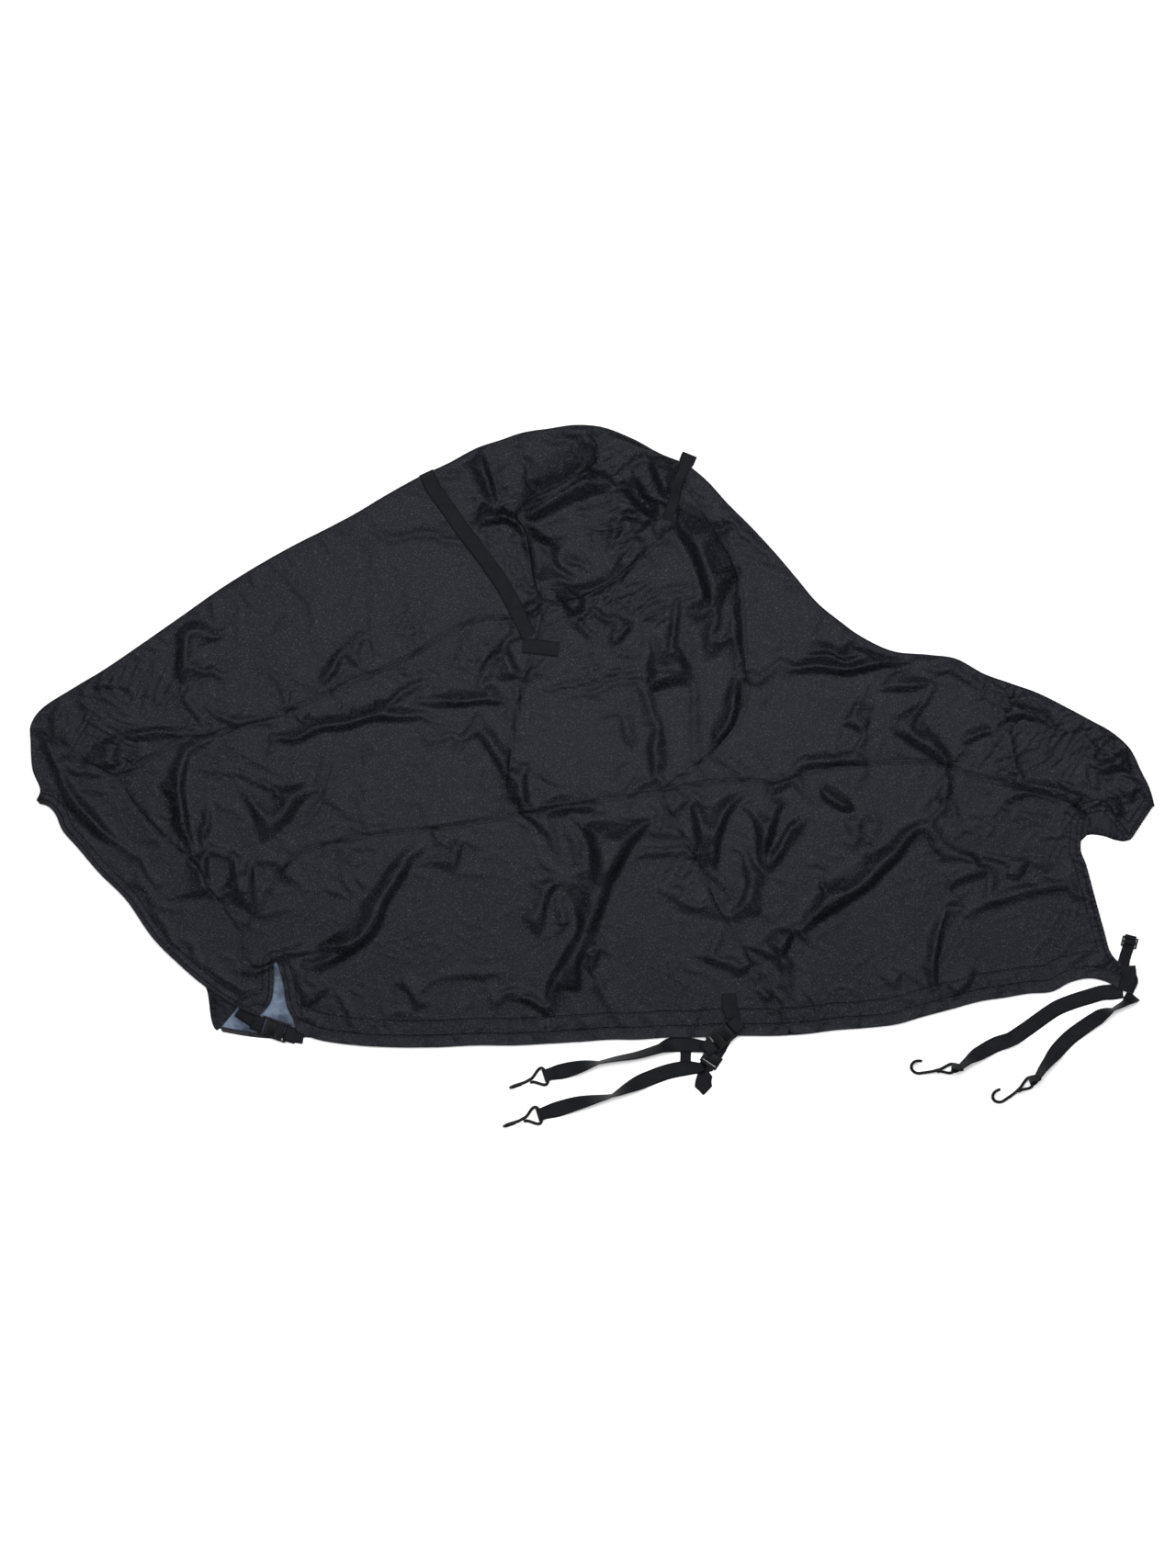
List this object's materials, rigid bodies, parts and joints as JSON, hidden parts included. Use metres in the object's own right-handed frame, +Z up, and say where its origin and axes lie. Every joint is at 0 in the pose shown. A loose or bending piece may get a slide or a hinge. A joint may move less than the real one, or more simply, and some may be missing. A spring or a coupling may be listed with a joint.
{
  "type": "snowmobile cover",
  "caption": "Empty black snowmobile cover of coated cloth, laid flat on its side, folded along its top ridge, with webbing straps, hooks and buckles.",
  "frame": {"origin": "middle of the bounding box on the floor, on the underside of the far side of the cover", "axes": "+X from the nose to the tail, +Y from the open hem to the top ridge, +Z up from the floor through both layers"},
  "size_m": [2.9364, 1.8332, 0.0472],
  "materials": {
    "cloth": "coated woven polyester, satin",
    "webbing": "twill webbing, matt",
    "plastic": "moulded, semi-gloss",
    "wire": "steel wire dipped in black plastic"
  },
  "bodies": {
    "root": {"nose_panel": "cloth", "hood_top": "cloth", "windshield_top": "cloth", "seat_panel": "cloth", "hood_side_near": "cloth", "hood_side_far": "cloth", "windshield_side_near": "cloth", "windshield_side_far": "cloth", "front_skirt_near": "cloth", "front_skirt_far": "cloth", "rear_skirt_near": "cloth", "rear_skirt_far": "cloth", "hood_strap": "webbing", "hood_strap_patch": "webbing", "windshield_tab": "webbing", "side_tab_near": "webbing", "side_strap_near": "webbing", "side_strap_near_end": "webbing", "side_tab_far": "webbing", "side_strap_far": "webbing", "rear_corner_loop": "webbing", "rear_end": "webbing", "rear_strap_near": "webbing", "rear_strap_far": "webbing", "front_tab_nose": "webbing", "front_tab_skirt": "webbing", "side_hook_near": "wire", "side_hook_far": "wire", "rear_hook_near": "wire", "rear_hook_far": "wire", "side_buckle_socket": "plastic", "side_buckle_plug": "plastic", "front_buckle_socket": "plastic", "front_buckle_plug": "plastic", "side_slider": "plastic", "rear_slider": "plastic"}
  },
  "joints": []
}
